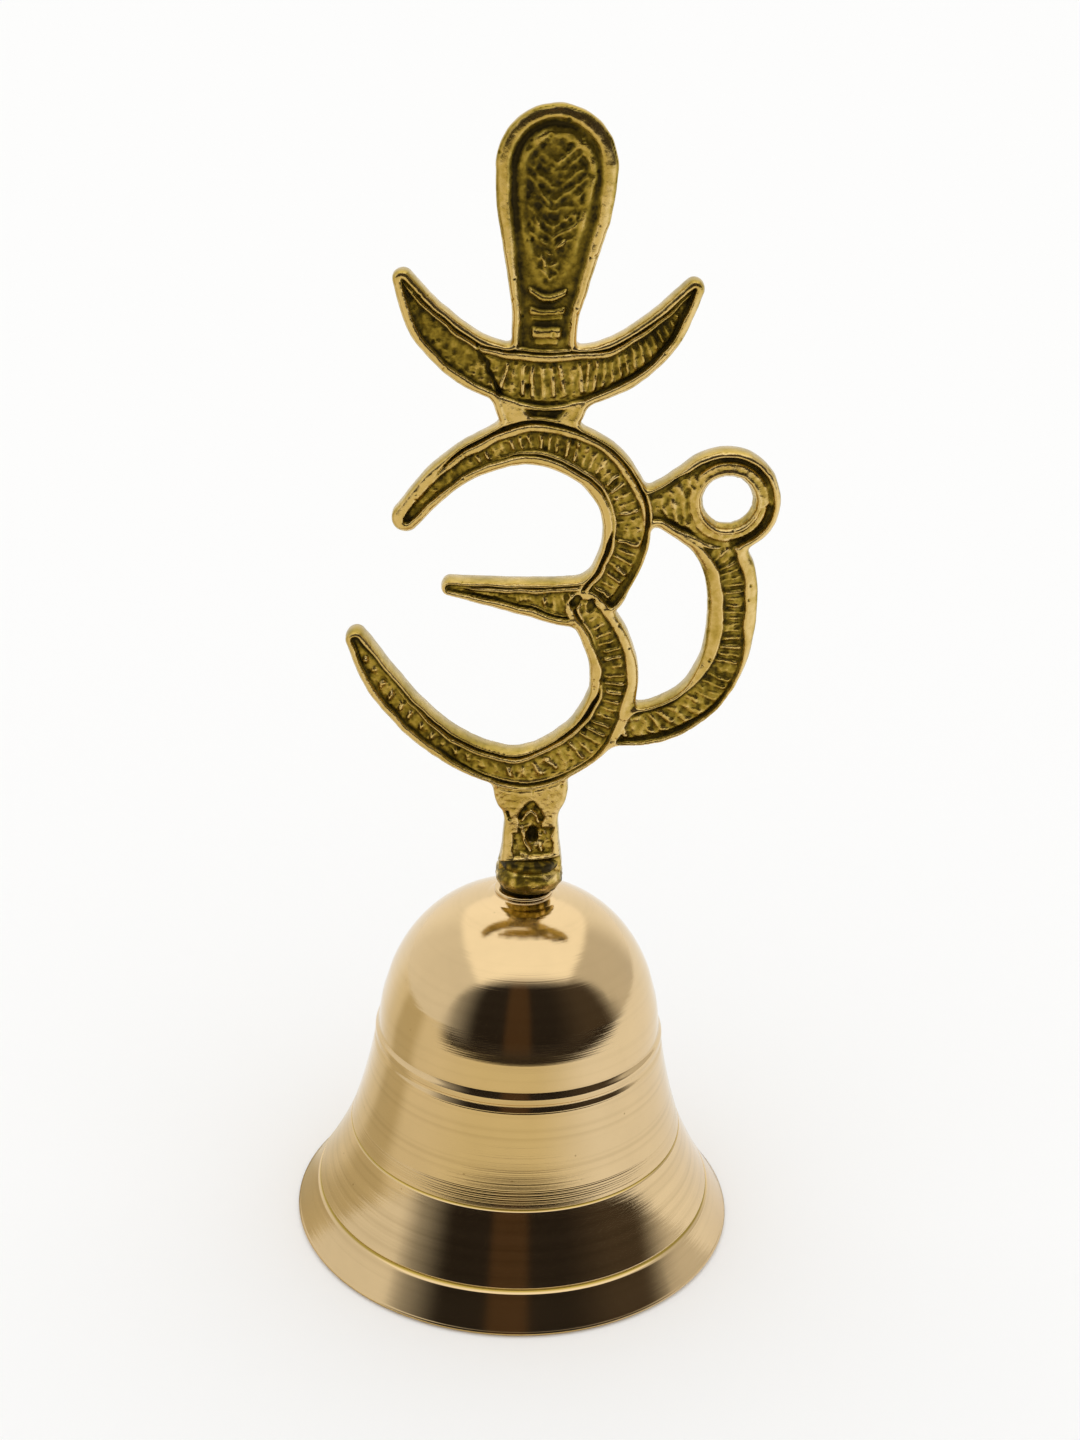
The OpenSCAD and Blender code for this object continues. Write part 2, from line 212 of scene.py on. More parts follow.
EDGES = {
    "crescent": {
        "left": [(0, 1.0, 0.25, 0.4), (0.3, 0.9, 0.28, 0.6), (0.42, 0.4, 0.25, 0.85),
                 (0.58, 0.4, 0.25, 0.85), (0.7, 0.8, 0.28, 0.7), (0.85, 0.9, 0.25, 0.5), (1, 1.0, 0.2, 0.2)],
        "right": [(0, 1.2, 0.15, 0), (0.35, 1.1, 0.15, 0), (0.5, 0.5, 0.5, 0), (0.62, 1.0, 0.4, 0),
                  (1, 1.0, 0.5, 0)]},
    "upper_bowl": {
        "left": [(0, 1.6, 0, 0), (0.13, 1.3, 0, 0.5), (0.2, 0.6, 0.3, 0.8), (0.257, 0.45, 0.5, 0.9),
                 (0.414, 0.4, 0.5, 0.85), (0.58, 0.5, 0.3, 0.8), (0.715, 0.5, 0.3, 0.8), (0.8, 0.4, 0.5, 0),
                 (0.92, 0.35, 0.9, 0), (1, 0.35, 1.0, 0)],
        "right": [(0, 1.1, 0.2, 0), (0.13, 1.0, 0.2, 0), (0.3, 1.1, 0.2, 0.1), (0.414, 1.2, 0.25, 0.4),
                  (0.58, 1.2, 0.35, 0.45), (0.715, 1.35, 0.15, 0.35), (0.79, 1.2, 0.1, 0.35),
                  (0.84, 0.6, 0.55, 0.45), (0.92, 0.5, 0.5, 0.5), (1, 0.5, 0.3, 0.5)]},
    "middle_tine": {
        "left": [(0, 0.9, 0.3, 0.2), (0.226, 1.0, 0.35, 0.25), (0.46, 1.1, 0.4, 0.2), (0.744, 0.95, 0.35, 0),
                 (1, 0.6, 0.2, 0)],
        "right": [(0, 0.5, 0.25, 0.5), (0.46, 0.6, 0.28, 0.6), (0.744, 0.6, 0.28, 0.5), (1, 0.5, 0.3, 0)]},
    "lower_bowl": {
        "left": [(0, 1.2, 0.1, 0), (0.151, 1.5, 0.1, 0), (0.243, 1.7, 0, 0), (0.355, 0.5, 0.4, 0.2),
                 (0.485, 0.4, 0.5, 0.25), (0.58, 0.6, 0.4, 0.2), (0.684, 1.0, 0.3, 0), (0.895, 1.0, 0.2, 0),
                 (1, 0.8, 0.3, 0)],
        "right": [(0, 1.0, 0.35, 0.4), (0.065, 1.3, 0.2, 0.3), (0.151, 1.55, 0.1, 0), (0.2, 1.3, 0.15, 0.3),
                  (0.243, 0.9, 0.5, 0.5), (0.355, 0.45, 0.5, 0.5), (0.485, 0.4, 0.42, 0.55),
                  (0.684, 0.5, 0.45, 0.5), (0.8, 0.55, 0.45, 0.2), (1, 0.8, 0.4, 0)]},
    "tail_loop": {
        "left": [(0, 1.2, 0.3, 0), (0.125, 1.3, 0.3, 0), (0.257, 1.7, 0, 0), (0.42, 1.6, 0, 0),
                 (0.5, 0.9, 0.1, 0), (0.557, 0.6, 0.2, 0), (0.71, 0.4, 0.5, 0), (0.855, 0.5, 0.85, 0),
                 (1, 0.35, 0.5, 0)],
        "right": [(0, 1.2, 0.1, 0), (0.125, 1.6, 0, 0), (0.257, 1.9, 0, 0), (0.45, 2.0, 0, 0),
                  (0.557, 1.6, 0, 0), (0.64, 1.2, 0, 0), (0.71, 0.6, 0.25, 0), (0.78, 0.5, 0.45, 0),
                  (0.855, 0.45, 0.45, 0), (1, 0.6, 0.3, 0)]},
    "ring_tail": {
        "left": [(0, 0.5, 0.7, 0), (1, 0.5, 0.9, 0)],
        "right": [(0, 1.0, 0.4, 0), (1, 1.0, 0.4, 0)]},
}

# Cross bars of a stroke: from and to as shares of its length, pitch, seed, slant, fill of the pitch,
# height, and width as a share of the floor.
HATCHING = {
    "tail_loop": [(0.03, 0.45, 0.85, 71, 0.1, 0.35, 0.3, 1.0), (0.43, 0.68, 1.05, 72, 0.1, 0.42, 0.4, 1.0),
                  (0.66, 0.99, 1.5, 70, 0.35, 0.5, 0.5, 1.0)],
    "ring_tail": [(0.3, 0.95, 1.25, 63, 0.15, 0.4, 0.45, 1.0)],
    "middle_tine": [(0.02, 0.45, 1.2, 73, 0.2, 0.3, 0.5, 1.0), (0.45, 0.9, 0.5, 74, 0.0, 0.4, 0.22, 1.0)],
    "upper_bowl": [(0.2, 0.8, 1.12, 75, 0.05, 0.32, 0.5, 1.0), (0.8, 1.0, 1.2, 76, -0.1, 0.35, 0.5, 1.0)],
    "lower_bowl": [(0.02, 0.4, 1.15, 77, 0.05, 0.32, 0.5, 1.0), (0.4, 0.98, 1.85, 78, 0.35, 0.3, 0.62, 0.75)],
    "crescent": [(0.3, 0.62, 1.15, 79, 0.1, 0.4, 0.42, 0.9), (0.6, 0.97, 1.0, 80, -0.35, 0.38, 0.5, 1.0)],
}


def bars(s, v, w, pitch, seed, slant, fill):
    """Hand-cut cross bars: height from 0 to about 1 along length s, fading out at |v| = w."""
    s = s + 0.22 * lattice(s, v * 0.8, 1.7, seed) + slant * v + 0.16 * v * lattice(s, 0.0, 3.0, seed + 1)
    k = np.floor(s / pitch)
    depth = np.random.default_rng(seed).uniform(0.3, 1.3, 400)[k.astype(int) % 400]
    off = np.abs(s / pitch - k - 0.5) * 2
    worn = np.clip(0.75 + 0.5 * lattice(s, v, 0.8, seed + 2), 0, 1)
    return depth * worn * smooth((fill + 0.3 - off) / 0.6) * smooth((w - np.abs(v)) / 0.5)


floor_grain = 0.12 * fractal(X, Z, 0.8, 21, 3)
H = GROOVE + 0.1 + 0.05 * fractal(X, Z, 0.8, 31, 2)     # half thickness at each grid point
edge_w = np.full(X.shape, 0.9)                          # width of the rim at each grid point


def lay(name, h, rim_w):
    """Puts height h and rim width rim_w over what is there, where the stroke lies."""
    global H, edge_w
    m = smooth(fields[name][0] / 0.12)
    H = H * (1 - m) + h * m
    edge_w = np.where(m > 0.5, rim_w, edge_w)


def band(name):
    """Heights inside one stroke: on each side groove and ridge, between them a floor with its bars."""
    inside, along, across, length = fields[name]
    half_w, share = inside + np.abs(across), np.clip(along / length, 0, 1)
    wave = 1 + 0.12 * lattice(along, 0.0, 1.9, 501)
    worn = GROOVE + 0.16 * lattice(along, across * 0.2, 2.7, 503)
    heights, reach, rim_w = {}, {}, {}
    for side, sign in (("left", 1), ("right", -1)):
        rows = np.array(EDGES[name][side])
        rim_w[side], groove, ridge = (np.interp(share, rows[:, 0], rows[:, i]) * wave for i in (1, 2, 3))
        past = half_w - sign * across - rim_w[side]
        g = worn + (FLOOR - worn) * smooth((past - groove + 0.08) / 0.2)
        ridge_off = np.abs(past - groove - ridge / 2)
        bump = 0.62 * np.clip(ridge / 0.45, 0, 1) * smooth((ridge / 2 + 0.14 - ridge_off) / 0.26)
        g = np.where(groove > 0.05, g, FLOOR) + bump
        fall = 0.12 * (1 - smooth((half_w - sign * across) / 0.3))
        crest = CREST - 0.15 - fall + 0.04 * fractal(X, Z, 0.9, 507, 2)
        heights[side] = crest + (g - crest) * smooth((past + 0.14) / 0.28)
        reach[side] = half_w - rim_w[side] - groove - ridge - 0.05
    h = np.where(across < 0, heights["right"], heights["left"])
    mid = (reach["left"] - reach["right"]) / 2
    half = np.maximum((reach["left"] + reach["right"]) / 2, 0.05)
    h = h + smooth((half - np.abs(across - mid)) / 0.2) * floor_grain
    for start, end, pitch, seed, slant, fill, high, wide in HATCHING[name]:
        on = smooth((share - start) / 0.02) * smooth((end - share) / 0.02)
        h = h + high * on * bars(along, across - mid, half * wide, pitch, seed, slant, fill)
    return h, np.where(across > 0, rim_w["left"], rim_w["right"])


def turned(x, z, turn):
    """Offsets of the grid points from (x, z), along and across a direction turned from +X."""
    dx, dz, c, s = X - x, Z - z, math.cos(turn), math.sin(turn)
    return dx * c + dz * s, dz * c - dx * s


def stick(x0, z0, x1, z1, r):
    """1 within r of the line from (x0, z0) to (x1, z1), 0 a little further out."""
    dx, dz = x1 - x0, z1 - z0
    t = np.clip(((X - x0) * dx + (Z - z0) * dz) / (dx * dx + dz * dz), 0, 1)
    return smooth((r + 0.12 - np.hypot(X - x0 - t * dx, Z - z0 - t * dz)) / 0.2)


# x, z, half length, half width and turn of the raised flecks on the worn leaf
FLECKS = [(-0.4, 137.3, 0.8, 0.3, -0.8), (-1.2, 134.8, 0.6, 0.3, -1.1), (1.6, 132.3, 1.0, 0.3, 0.8),
          (-0.5, 132.5, 0.6, 0.25, -0.7), (-0.3, 130.2, 0.9, 0.25, -1.3), (0.2, 131.2, 0.5, 0.2, -0.6)]
# height, left end, right end, sag, half thickness and relief of the bars at the foot of the paddle
FOOT_BARS = [(126.1, -2.4, 2.4, 0.17, 0.5, 0.62), (124.4, -2.1, 2.4, 0.05, 0.45, 0.5),
             (123.7, -1.8, 2.2, 0.05, 0.3, 0.25), (122.0, -1.7, 2.1, 0.02, 0.75, 0.62),
             (121.0, -1.3, 1.8, 0, 0.4, 0.25)]
OVAL = [[0.3, 128.6, 1.6], [0.4, 132.5, 3.0], [0.6, 136.5, 3.9], [0.9, 140.5, 4.35]]


def paddle():
    """Broad sloping rim, dark groove, raised oval line, worn leaf, and the bars at the foot."""
    from_axis = X - np.interp(Z, [119, 124, 132, 141], [0, 0.1, 0.5, 0.8])
    rim = np.interp(Z, [119, 124, 128, 132, 136, 140, 146], [0.9, 1.0, 1.1, 1.35, 1.6, 1.85, 1.7])
    rim = rim * (1 + 0.1 * lattice(X, Z, 2.5, 40))
    past = fields["paddle"][0] - rim
    h = GROOVE + 0.14 + 0.12 * lattice(X, Z, 2.2, 46)
    h = h + (FLOOR - GROOVE - 0.1) * smooth((past - 0.6) / 0.9)
    oval = stroke_field(OVAL)[0]
    line = np.interp(Z, [127, 132, 137, 141, 143], [0.1, 0.3, 0.45, 0.8, 1.0])
    line = line * (1 + 0.3 * lattice(X, Z, 2.0, 42))
    line = line * smooth(1.1 - np.abs(oval - 0.3) / np.interp(Z, [136, 144], [0.6, 1.0]))
    h = h + 0.55 * line * (0.85 + 0.3 * lattice(X, Z, 1.0, 44))
    vein = (Z - 0.8 * np.abs(from_axis) + 0.3 * lattice(X, Z, 1.7, 43)) / 1.45
    leaf = smooth(1 - np.abs(vein % 1 - 0.5) * 2.6) * smooth(0.55 + 0.9 * lattice(X, Z, 1.5, 45))
    leaf = leaf * np.where(from_axis > 0, 1, 0.6)
    h = h + smooth((oval - 0.6) / 0.4) * (0.22 * leaf + 0.13 * fractal(X, Z, 0.9, 41, 3))
    for x, z, long, thin, turn in FLECKS:
        a, b = turned(x, z, turn)
        h = h + 0.42 * smooth(1.3 - np.hypot(a / long, b / thin))
    wobble = 0.15 * lattice(X, Z, 1.2, 47)
    for z, x0, x1, sag, thick, high in FOOT_BARS:
        bar = smooth(1.25 - np.abs(Z - z - sag * from_axis**2 + wobble) / thick)
        h = h + high * bar * smooth((from_axis - x0) / 0.4) * smooth((x1 - from_axis) / 0.4)
    return h, rim


def neck():
    """The two rims that run down from the crescent, with a hollow between them."""
    rims = smooth(np.abs(X - 0.4) - 2.6 + 0.7 * (114 - Z))
    return GROOVE + (CREST - 0.2 - GROOVE) * rims + 0.06 * fractal(X, Z, 1.1, 51, 2)


def hanging_ring():
    """A smooth band round the hole and a groove that widens at the lower right; and where it lies."""
    turn = np.degrees(ring_a)
    lower_right = smooth((turn + 88) / 12) * smooth((2 - turn) / 12)
    upper = smooth((turn - 20) / 30) * smooth((150 - turn) / 20)
    left = smooth((np.abs(turn) - 138) / 20)
    inner_edge = 4.85 - 0.75 * lower_right - 1.2 * left
    groove = np.clip(0.35 + lower_right + upper * 0.6, 0, 1) * (1 - 0.9 * left)
    h = 1.7 - 0.05 * (ring_r - 3.6)**2 + 0.05 * fractal(X, Z, 0.9, 61, 3)
    h = h + (GROOVE - h) * smooth((ring_r - inner_edge + 0.1) / 0.25) * groove
    return h, smooth((5.9 - ring_r) / 0.3) * (1 - left * smooth((ring_r - 3.7) / 0.3))


def crescent():
    """The band of the crescent, with the notch left of its middle."""
    h, rim = band("crescent")
    off = np.abs(X + 6.9 + 0.5 * (Z - 118.6) + 0.3 * lattice(X, Z, 1.0, 82))
    notch = smooth(1.3 - off / 0.3) * smooth((fields["crescent"][0] - 0.8) / 0.3)
    return h - 0.4 * notch, rim


lay("paddle", *paddle())
lay("neck", neck(), 0.9)
lay("tail_loop", *band("tail_loop"))
lay("ring_tail", *band("ring_tail"))
ring_h, on_ring = hanging_ring()
H = H * (1 - on_ring) + ring_h * on_ring
edge_w = np.where(ring_r < RING_R, 0.85, edge_w)
for name in ("middle_tine", "upper_bowl", "lower_bowl"):
    lay(name, *band(name))
for x, z, turn in ((5.1, 89.0, -0.3), (7.0, 88.6, -0.25)):      # two open cells where the strokes meet
    a, b = turned(x, z, turn)
    off = np.hypot(a / 0.6, b / 0.8) + 0.3 * lattice(X, Z, 0.6, 83)
    H = H + smooth((1.35 - off) / 0.4) * (1.0 + 0.5 * smooth((off - 0.75) / 0.4) - H)
lay("crescent", *crescent())
off_neck = np.abs(X - 0.1)                              # the rims of crescent and bowl meet in the neck
joined = smooth(off_neck - 2.7) * smooth(6.4 - off_neck) * smooth(1.5 - np.abs(Z - 113.0) / 0.95)
H = H + joined * (CREST - 0.16 + 0.05 * fractal(X, Z, 1.0, 87, 2) - H)


# x0, z0, x1, z1 and half width of the raised strokes inside the arch of the stem
ARCH_STROKES = [(-0.5, 59.2, 0.1, 60.2, 0.16), (0.1, 60.2, 0.6, 60.5, 0.16), (0.6, 60.5, 1.1, 60.2, 0.16),
                (1.1, 60.2, 1.6, 59.0, 0.16), (-0.6, 58.2, -0.2, 57.0, 0.22), (-0.2, 56.6, 0.6, 55.2, 0.2),
                (-0.6, 54.7, 0.3, 54.5, 0.15), (1.9, 55.9, 2.1, 55.3, 0.2), (2.4, 57.6, 2.5, 57.5, 0.14)]
ARCH_X, ARCH_TOP = 0.75, 62.1


def stem():
    """A plain rounded face with a sunk pointed arch and a pit, down to the line of the collar."""
    across = fields["stem"][2]
    ragged = 0.25 * lattice(X, Z, 0.9, 85)
    left_w = np.where(Z > 57.4, 1.75 * np.sqrt(np.clip((ARCH_TOP - Z) / 1.9, 0, 1)), 2.5)
    right_w = np.where(Z > 58.3, 1.5 * np.sqrt(np.clip((ARCH_TOP - Z) / 2.4, 0, 1)), 2.75)
    sunk = smooth((X - ARCH_X + left_w + ragged) / 0.25) * smooth((ARCH_X + right_w + ragged - X) / 0.25)
    sunk = sunk * smooth((Z - 54.2 - 0.12 * X) / 0.25)
    raised = np.maximum.reduce([stick(*s) for s in ARCH_STROKES])
    pit = smooth(1.3 - np.hypot((X - 0.85) / 0.7, (Z - 57.0) / 1.15))
    bulge = 0.75 * smooth((58 - Z) / 4) * np.sqrt(np.clip(1 - (across / 4.3)**2, 0, 1))
    h = 1.88 - 0.08 * (across / 3.6)**2 + bulge + 0.02 * fractal(X, Z, 0.9, 81, 2)
    h = h - sunk * (0.6 + 0.14 * fractal(X, Z, 0.6, 86, 2)) + 0.6 * raised * sunk - 1.2 * pit
    h = h - 0.7 * stick(-2.5, 60.3, -2.3, 59.7, 0.14) - 0.5 * stick(-2.2, 59.4, -2.0, 59.4, 0.12)
    collar_line = Z - 53.9 - 0.14 * (X - 0.7)
    lip = 0.2 * smooth(1 - np.abs(collar_line - 0.3) / 0.25)
    return h + lip - 0.55 * smooth((0.05 - collar_line) / 0.15)


# the rim runs along every free edge: side wall, rounded crest, then the fall into the groove
SHARP_FALL, SOFT_FALL = 0.28, 0.98      # how far the rim takes to fall: crescent, paddle
edge_w = blur(edge_w, 0.3 / GRID)
broad = smooth((edge_w - 1.2) / 0.5)
slope = (0.30 + 0.3 * broad) * np.clip(1 - union_u / edge_w, 0, 1)**2
slope = slope + 0.04 * smooth((union_u - 0.5) / 0.8) + 0.05 * broad * smooth((union_u - 0.5) / 1.6)
rim_h = WALL_TOP + (CREST - WALL_TOP) * round_over(union_u / 0.62) - slope
rim_h = rim_h + 0.03 * fractal(X, Z, 1.3, 88, 2)
rim_fall = SHARP_FALL + (SOFT_FALL - SHARP_FALL) * smooth(fields["paddle"][0] / 0.2)
rim_fall = np.where(fields["crescent"][0] > 0, SHARP_FALL, rim_fall)
past_rim = smooth((union_u - edge_w) / rim_fall + 0.5)
H = rim_h * (1 - past_rim) + H * past_rim

# the stem has no rim of its own
stem_only = smooth((0.5 - fields["lower_bowl"][0]) / 0.8) * smooth((fields["stem"][0] + 0.3) / 0.3)
stem_only = stem_only * smooth((66 - Z) / 1.5)
H = H * (1 - stem_only) + (WALL_TOP + (stem() - WALL_TOP) * round_over(union_u / 1.1)) * stem_only

# around the hole the metal rounds over into a thin ragged edge
HOLE_LIP = 0.55                     # half thickness at the edge of the hole
near_hole = smooth((5.0 - ring_r) / 0.5)
hole_h = HOLE_LIP + (np.maximum(H, 1.6) - HOLE_LIP) * round_over(hole_u)
H = H * (1 - near_hole) + hole_h * near_hole

H = blur(H, 0.07 / GRID)
on_rim = smooth((edge_w - union_u) / 0.3)


def casting_pits(count=420):
    """Small round pits, 1 at the middle of each."""
    pits = np.zeros(X.shape)
    draw = np.random.default_rng(91).uniform
    for _ in range(count):
        x, z, r = draw(-24, 30), draw(54, 148), draw(0.1, 0.28)
        j0, j1 = np.searchsorted(xs, (x - 1, x + 1))
        i0, i1 = np.searchsorted(zs, (z - 1, z + 1))
        near = np.s_[i0:i1, j0:j1]
        pits[near] = np.maximum(pits[near], smooth(1.4 - np.hypot(X[near] - x, Z[near] - z) / r))
    return pits


PITS = casting_pits()


def face(seed):
    """Heights of the front or the back, each with its own casting grain."""
    grain = 0.035 * fractal(X, Z, 0.55, seed, 3) * (1 - 0.6 * on_rim) + 0.03 * lattice(X, Z, 2.2, seed + 5)
    return np.clip(H + grain - 0.16 * PITS, 0.35, 2.9)


def patina(h):
    """Darkness of a face: deep and hollow places and the outer edges are dark, crests are bright."""
    high_up = smooth((Z - 113) / 14)
    # darker colour towards the top of the sign and along its outer edge
    upper_and_edge_dark = 0.22 * high_up * smooth((union_u - 0.9) / 0.8) + 0.09 * high_up
    upper_and_edge_dark = upper_and_edge_dark + 0.14 * smooth((0.42 - union_u) / 0.3)
    hollow = np.clip((blur(h, 0.42 / GRID) - h) * 3.0, -0.3, 1)
    return np.clip(0.28 + 0.66 * hollow + 0.42 * (1.6 - h) + upper_and_edge_dark, 0, 1)


WALL_PATINA = 0.36


def build_sign():
    """Two relief faces cut to the outline and the side wall that joins them."""
    # grid points just outside the outline are pulled onto it
    u = union_u - EDGE
    gz, gx = np.gradient(u, GRID)
    g = np.maximum(np.hypot(gx, gz), 0.3)
    inside = u >= 0.4 * GRID
    cell = inside[:-1, :-1] | inside[1:, :-1] | inside[:-1, 1:] | inside[1:, 1:]
    used = np.zeros(X.shape, bool)
    for corner in (np.s_[:-1, :-1], np.s_[1:, :-1], np.s_[:-1, 1:], np.s_[1:, 1:]):
        used[corner] |= cell
    pulled = used & ~inside
    px, pz = X.copy(), Z.copy()
    px[pulled] -= (u * gx / g**2)[pulled]
    pz[pulled] -= (u * gz / g**2)[pulled]

    n = int(used.sum())
    index = -np.ones(X.shape, int)
    index[used] = np.arange(n)
    corners = index[:-1, :-1][cell], index[:-1, 1:][cell], index[1:, 1:][cell], index[1:, :-1][cell]
    quads = np.stack(corners, 1)
    front, back = face(101), face(202)
    for h in (front, back):
        h[pulled] = np.where(hole_u[pulled] < outer_u[pulled], HOLE_LIP, WALL_TOP)
    front_verts = np.stack([px[used], -front[used], pz[used]], 1)
    back_verts = np.stack([px[used], back[used], pz[used]], 1)

    # edges with a quad on one side only, in the order that faces the front
    e = np.vstack([quads[:, [0, 1]], quads[:, [1, 2]], quads[:, [2, 3]], quads[:, [3, 0]]])
    forward = e[:, 0].astype(np.int64) * n + e[:, 1]
    reverse = e[:, 1].astype(np.int64) * n + e[:, 0]
    edge = e[~np.isin(forward, reverse)]
    border = np.unique(edge)
    count = len(border)
    place = -np.ones(n, int)
    place[border] = np.arange(count)

    # the wall: two belts of points a little outside the faces, between front and back
    outward = np.stack([-(gx / g)[used][border], -(gz / g)[used][border]], 1)
    belts = []
    for y, bulge in ((-0.3, 0.9), (0.25, 0.95)):
        p = front_verts[border]
        p[:, 0] += outward[:, 0] * EDGE * bulge
        p[:, 2] += outward[:, 1] * EDGE * bulge
        p[:, 1] = y + 0.12 * lattice(p[:, 0], p[:, 2], 1.7, 303)
        belts.append(p)
    ends = place[edge]
    rows = [edge, 2 * n + ends, 2 * n + count + ends, n + edge]
    walls = [np.stack([p[:, 1], p[:, 0], q[:, 0], q[:, 1]], 1) for p, q in zip(rows[:-1], rows[1:])]

    verts = np.vstack([front_verts, back_verts] + belts)
    faces = np.vstack([quads, quads[:, ::-1] + n] + walls)
    dark = [patina(front)[used], patina(back)[used]]
    for side in dark:
        side[border] = WALL_PATINA
    ob = mesh_object("om_handle_cast", verts * MM, faces, "bell", ["om_handle"])
    point_attribute(ob, "patina", np.concatenate(dark + [np.full(2 * count, WALL_PATINA)]))
    point_attribute(ob, "rim", np.concatenate([on_rim[used]] * 2 + [np.ones(2 * count)]))
    return ob


handle = build_sign()


# ---------------------------------------------------------------- turned pieces

def lathe(name, profile, segments, node, centre_x=0.0, warp=None):
    """Revolves [[r, z], ...] in mm about an upright axis. Points with r = 0 close the ends."""
    around = np.linspace(0, 2 * np.pi, segments, endpoint=False)
    verts, rings = [], []
    for r, z in profile:
        if r < 1e-6:
            rings.append([len(verts)] * segments)
            verts.append((centre_x, 0.0, z))
        else:
            rings.append(list(range(len(verts), len(verts) + segments)))
            rr = r + (warp(around, r, z) if warp else 0)
            verts += [(centre_x + x, y, z) for x, y in zip(rr * np.cos(around), rr * np.sin(around))]
    faces = []
    for low, high in zip(rings[:-1], rings[1:]):
        for j in range(segments):
            k = (j + 1) % segments
            corners = list(dict.fromkeys([low[j], low[k], high[k], high[j]]))
            if len(corners) > 2:
                faces.append(corners)
    return mesh_object(name, [np.array(v) * MM for v in verts], faces, "bell", [node])


# ---------------------------------------------------------------- the bell shell

MOUTH_R, WAIST_R, WAIST_Z, DOME_R, CROWN_Z, DOME_N = 30.0, 19.45, 26.4, 18.95, 48.3, 2.2
TAPER, CURVE, FLARE_TAPER, FLARE_H, WALL = 0.165, 0.0065, 0.38, 14.0, 2.0
# turned grooves: height, reach above, reach below, depth
LINES = [(4.9, 0.3, 0.4, 0.26), (14.0, 0.22, 0.22, 0.22), (27.45, 0.35, 1.1, 0.28)]


def upper_r(z):
    return WAIST_R + TAPER * (WAIST_Z - z) + CURVE * (WAIST_Z - z)**2


FLARE_R = upper_r(FLARE_H)
FLARE_CURVE = (MOUTH_R - FLARE_R - FLARE_TAPER * FLARE_H) / FLARE_H**2


def wall_r(z):
    """Outside of the wall at height z, without its grooves."""
    fall = np.maximum(0, FLARE_H - z)
    return np.where(z > FLARE_H, upper_r(z), FLARE_R + FLARE_TAPER * fall + FLARE_CURVE * fall**2)


def dome_r(r, t):
    """Radius of a dome of foot radius r at the share t of its height."""
    return r * np.maximum(0, 1 - t**DOME_N)**(1 / DOME_N)


def tool_mark(z, z0, half, depth):
    """A round-bottomed groove centred at z0."""
    return -depth * np.clip(1 - ((z - z0) / half)**2, 0, 1)**0.6


def groove(z, z0, above, below, depth):
    """A turned groove with its bottom at z0 and flanks of different heights."""
    return -depth * smooth(1 - np.maximum((z - z0) / above, (z0 - z) / below))


def tool_marks():
    """Height, half width and depth of the fine marks: a dense row above the flare, faint ones elsewhere."""
    draw = np.random.default_rng(7).uniform
    dense = 14.7 + 0.3 * np.arange(7) + draw(-0.06, 0.06, 7)
    marks = [(z, draw(0.05, 0.09), draw(0.005, 0.011)) for z in dense]
    faint = np.concatenate([draw(17, 25.4, 9), draw(6, 13.4, 5), draw(0.8, 4.0, 3)])
    return marks + [(z, draw(0.08, 0.2), draw(0.0004, 0.0012)) for z in faint]


MARKS = tool_marks()


def outer_r(z):
    """Outside of the shell at height z: wall, double ring and dome with the turned grooves."""
    t = np.clip((z - WAIST_Z) / (CROWN_Z - WAIST_Z), 0, 1)
    s = smooth((z - WAIST_Z - 1.95) / 0.95)
    ring_r = WAIST_R - 0.08 * (z - WAIST_Z)
    r = np.where(z < WAIST_Z + 0.2, wall_r(z), ring_r * (1 - s) + dome_r(DOME_R, t) * s)
    return r + sum(groove(z, *line) for line in LINES) + sum(tool_mark(z, *mark) for mark in MARKS)


def shell_profile():
    """Closed section of the shell: lip, outside, boss on the crown, hole, inside of dome and wall."""
    dense = [(1.0, 33, 150), (4.3, 6.0, 26), (13.5, 14.5, 22), (14.5, 17.0, 40), (25.6, 30, 70)]
    dense += [(z0 - half, z0 + half, 5) for z0, half, _ in MARKS]
    z_side = np.concatenate([np.linspace(*stretch) for stretch in dense])
    z_dome = WAIST_Z + (CROWN_Z - WAIST_Z) * np.sin(np.linspace(0.3, 0.995, 90) * np.pi / 2)
    z_all = np.unique(np.round(np.concatenate([z_side, z_dome[z_dome > 33]]), 3))
    prof = [[27.35, 0.0], [28.9, 0.0], [29.35, 0.05], [29.65, 0.22], [29.78, 0.5]]
    prof += [[r, z] for r, z in zip(outer_r(z_all), z_all) if r > 4.6]
    boss = [(4.2, -0.16), (3.9, -0.1), (3.78, 0.0), (3.8, 0.1), (3.86, 0.25), (3.86, 0.5), (3.78, 0.64),
            (3.6, 0.7), (1.6, 0.7)]
    prof += [[r, CROWN_Z + up] for r, up in boss]
    prof += [[1.6, 43.6], [4.8, 43.62], [5.3, 45.3]]
    for i in range(16, 0, -1):
        t = math.sin(i * math.pi / 40)
        prof.append([float(dome_r(DOME_R - WALL + 0.4, t)), WAIST_Z + (CROWN_Z - 2.2 - WAIST_Z) * t])
    for z in np.linspace(WAIST_Z, 0.35, 40):
        thick = WALL + float(max(0, 1 - z / 10)**2)
        prof.append([float(wall_r(z)) - thick + 0.02 * math.sin(z * 9), float(z)])
    return prof + [[27.05, 0.12], [27.35, 0.0]]


shell = lathe("bell_shell", shell_profile(), 320, "bell_body")
v = vertices_mm(shell)
r_out, z_out = np.hypot(v[:, 0], v[:, 1]), v[:, 2]
# darker colour along the outside of the turned grooves at 4.85 and 14 mm
groove_darkening = sum(smooth(1.4 - 2.2 * np.abs(z_out - z0) / 0.3) for z0 in (4.85, 14.0))
point_attribute(shell, "groove", groove_darkening * (r_out > np.interp(z_out, [0, 14, 30], [25, 21.6, 18])))


# ---------------------------------------------------------------- collar and spigot of the handle

COLLAR_X = 0.6                      # the collar sits a little off the bell's axis


